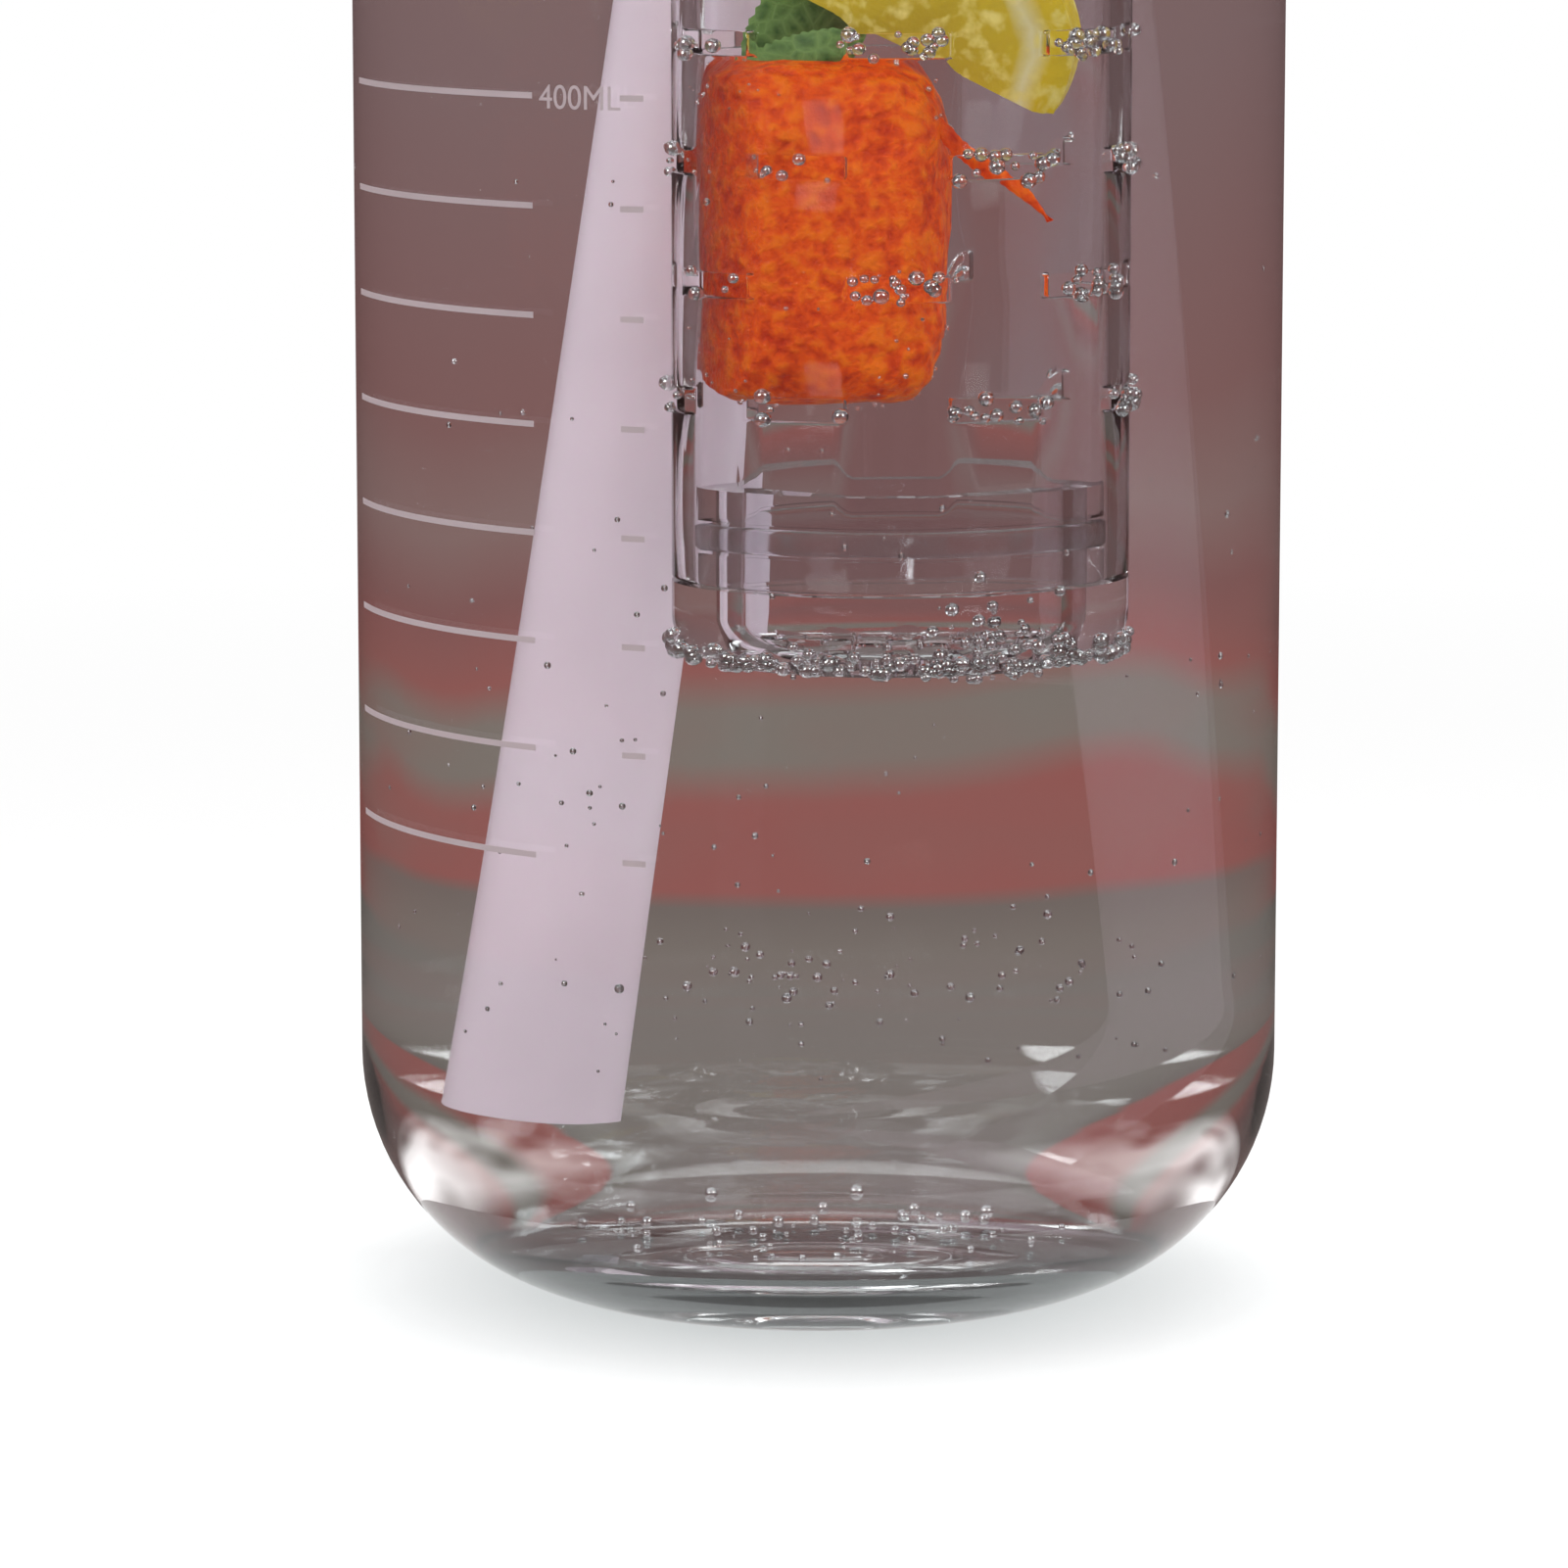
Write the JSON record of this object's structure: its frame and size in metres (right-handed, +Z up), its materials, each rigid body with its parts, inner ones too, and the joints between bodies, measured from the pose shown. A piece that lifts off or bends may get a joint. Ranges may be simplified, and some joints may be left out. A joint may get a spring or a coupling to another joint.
{
  "type": "tea infuser bottle",
  "caption": "Clear cylindrical drinking bottle with a rounded thick base; a screw lid carries a straw, a slotted infuser tube, a flip cover over the spout and a carry handle.",
  "frame": {"origin": "middle of the foot ring, on the surface that the bottle stands on", "axes": "+Z up along the bottle, +Y towards the spout and the button, -Y towards the hinge of the cover"},
  "size_m": [0.08, 0.08, 0.2627],
  "materials": {
    "clear_body": "clear polished moulding",
    "clear_infuser": "clear polished moulding",
    "lilac_lid": "fine satin moulding",
    "lilac_trim": "satin moulding",
    "lilac_straw": "smooth extruded tube",
    "soft_seal": "matt silicone",
    "steel": "ground pin stock"
  },
  "bodies": {
    "bottle": {"bottle_body": "clear_body"},
    "lid_seal": {"lid_gasket": "soft_seal"},
    "lid": {"lid_collar": "lilac_lid", "lid_insert": "lilac_trim", "drinking_spout": "soft_seal", "vent_valve": "soft_seal", "straw_sleeve": "soft_seal", "straw": "lilac_straw", "cover_hinge_pin": "steel", "button_spring": "steel", "handle_pin_left": "steel", "handle_pin_right": "steel"},
    "cover": {"flip_cover": "lilac_lid", "cover_seal": "soft_seal"},
    "button": {"push_button": "lilac_trim"},
    "handle": {"carry_handle": "lilac_trim"},
    "infuser_seal": {"infuser_gasket": "soft_seal"},
    "infuser": {"infuser_collar": "lilac_trim", "infuser_tube": "clear_infuser"},
    "end_cap": {"infuser_end_cap": "clear_infuser", "end_cap_oring": "soft_seal"}
  },
  "joints": [
    {"name": "lid_lift", "type": "slide", "parent": "bottle", "child": "lid_seal", "axis": [0, 0, 1], "range_m": [0, 0.24]},
    {"name": "lid_turn", "type": "hinge", "parent": "lid_seal", "child": "lid", "pos_m": [0, 0, 0.226], "axis": [0, 0, 1], "range_deg": [0, 540]},
    {"name": "cover_flip", "type": "hinge", "parent": "lid", "child": "cover", "pos_m": [0, -0.0275, 0.24495], "axis": [1, 0, 0], "range_deg": [0, 120]},
    {"name": "button_press", "type": "slide", "parent": "lid", "child": "button", "axis": [0, 0, -1], "range_m": [0, 0.002], "stiffness_N_per_m": 800, "deforming": ["button_spring"]},
    {"name": "handle_swing", "type": "hinge", "parent": "lid", "child": "handle", "pos_m": [0, 0, 0.23445], "axis": [-1, 0, 0], "range_deg": [0, 105]},
    {"name": "infuser_drop", "type": "slide", "parent": "lid", "child": "infuser_seal", "axis": [0, 0, -1], "range_m": [0, 0.03]},
    {"name": "infuser_turn", "type": "hinge", "parent": "infuser_seal", "child": "infuser", "pos_m": [0.0058, -0.01016, 0.22], "axis": [0, 0, 1], "range_deg": [0, 60]},
    {"name": "end_cap_pull", "type": "slide", "parent": "infuser", "child": "end_cap", "axis": [0, 0, -1], "range_m": [0, 0.012]}
  ]
}
